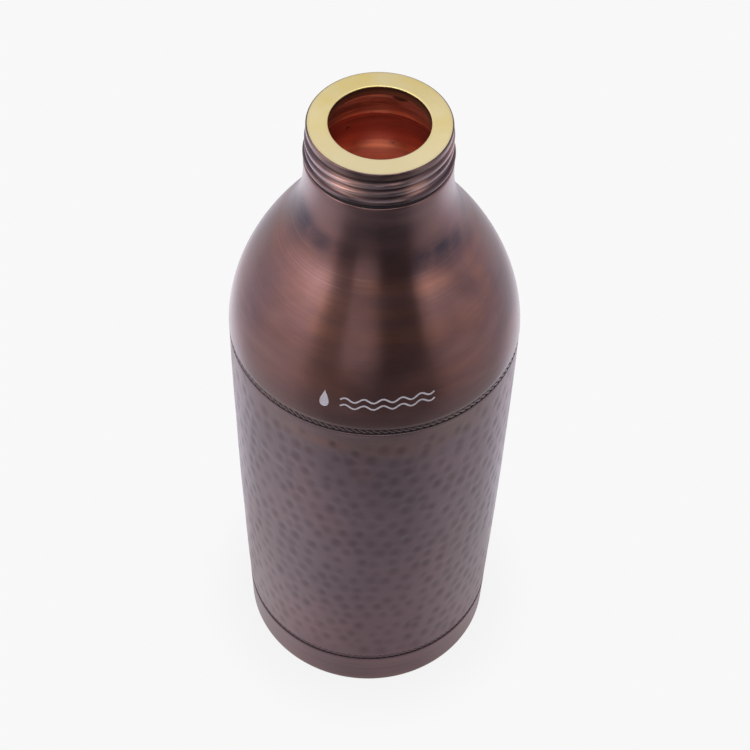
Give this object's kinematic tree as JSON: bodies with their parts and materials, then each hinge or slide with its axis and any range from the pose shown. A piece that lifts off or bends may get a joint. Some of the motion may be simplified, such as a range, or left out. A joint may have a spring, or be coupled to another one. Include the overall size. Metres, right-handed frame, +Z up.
{
  "type": "water bottle",
  "caption": "Open-mouthed copper water bottle: domed shoulder, hammered tapered body, smooth base band and a brass screw neck.",
  "frame": {"origin": "centre of the foot plane, on the bottle's axis", "axes": "+Z up along the bottle's axis and out through the mouth; the bottle is round, so X and Y are free, and the cap thread's start sets them"},
  "size_m": [0.088, 0.088, 0.2275],
  "materials": {
    "neck_brass": "bare satin brass on the sealing face and mouth, antiqued brown on the threaded outside",
    "satin_copper": "antiqued copper, spun and satin lacquered, bare red copper inside",
    "hammered_copper": "antiqued copper, hammered with small dark dimples, bare red copper inside",
    "band_copper": "antiqued copper, smooth satin band with a rounded heel",
    "dark_filler": "blackened solder line"
  },
  "bodies": {
    "root": {"neck_ring": "neck_brass", "neck_braze_ring": "dark_filler", "shoulder_dome": "satin_copper", "upper_seam_solder": "dark_filler", "hammered_body": "hammered_copper", "lower_seam_solder": "dark_filler", "base_cup": "band_copper"}
  },
  "joints": []
}
